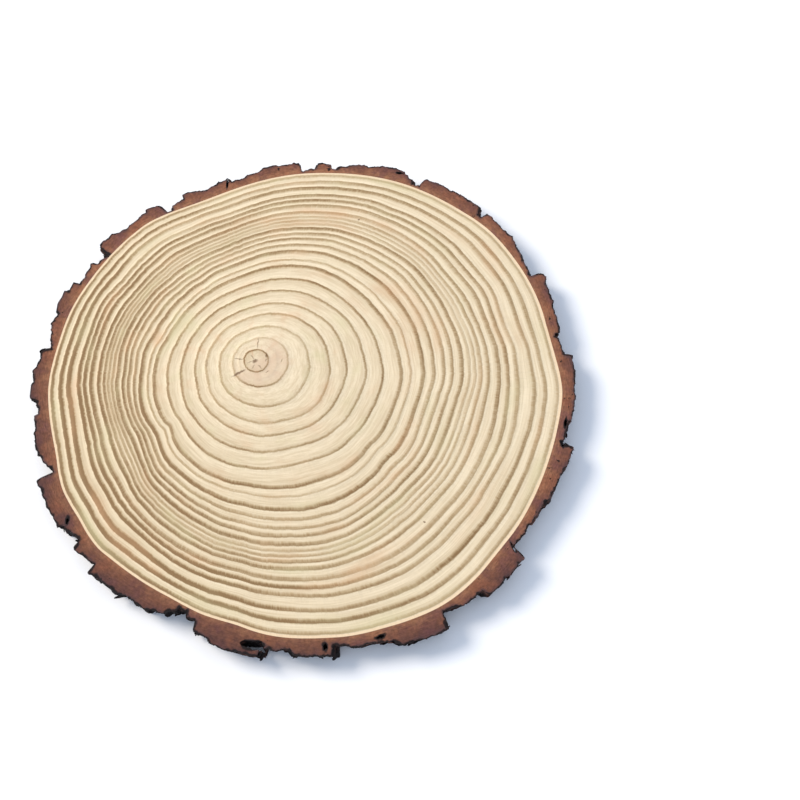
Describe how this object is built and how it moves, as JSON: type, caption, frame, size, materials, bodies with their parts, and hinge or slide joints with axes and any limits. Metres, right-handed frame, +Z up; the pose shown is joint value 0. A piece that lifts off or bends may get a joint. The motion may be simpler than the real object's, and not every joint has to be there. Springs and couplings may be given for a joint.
{
  "type": "wood slice",
  "caption": "Thin round slice of pine trunk with off-centre growth rings and its scaly bark still on, a natural board that lies flat.",
  "frame": {"origin": "middle of the slice's box, on its flat underside", "axes": "+Z up out of the sawn top; +X along the wide way of the slice; +Y away from the viewer of the picture"},
  "size_m": [0.3068, 0.299, 0.015],
  "materials": {
    "sawn_pine": "sawn and lightly sanded, matt, pale early wood with tan rings",
    "pine_bark": "rough, dry, red-brown where cut, nearly black on the weathered outside"
  },
  "bodies": {
    "root": {"wood": "sawn_pine", "bark": "pine_bark"}
  },
  "joints": []
}
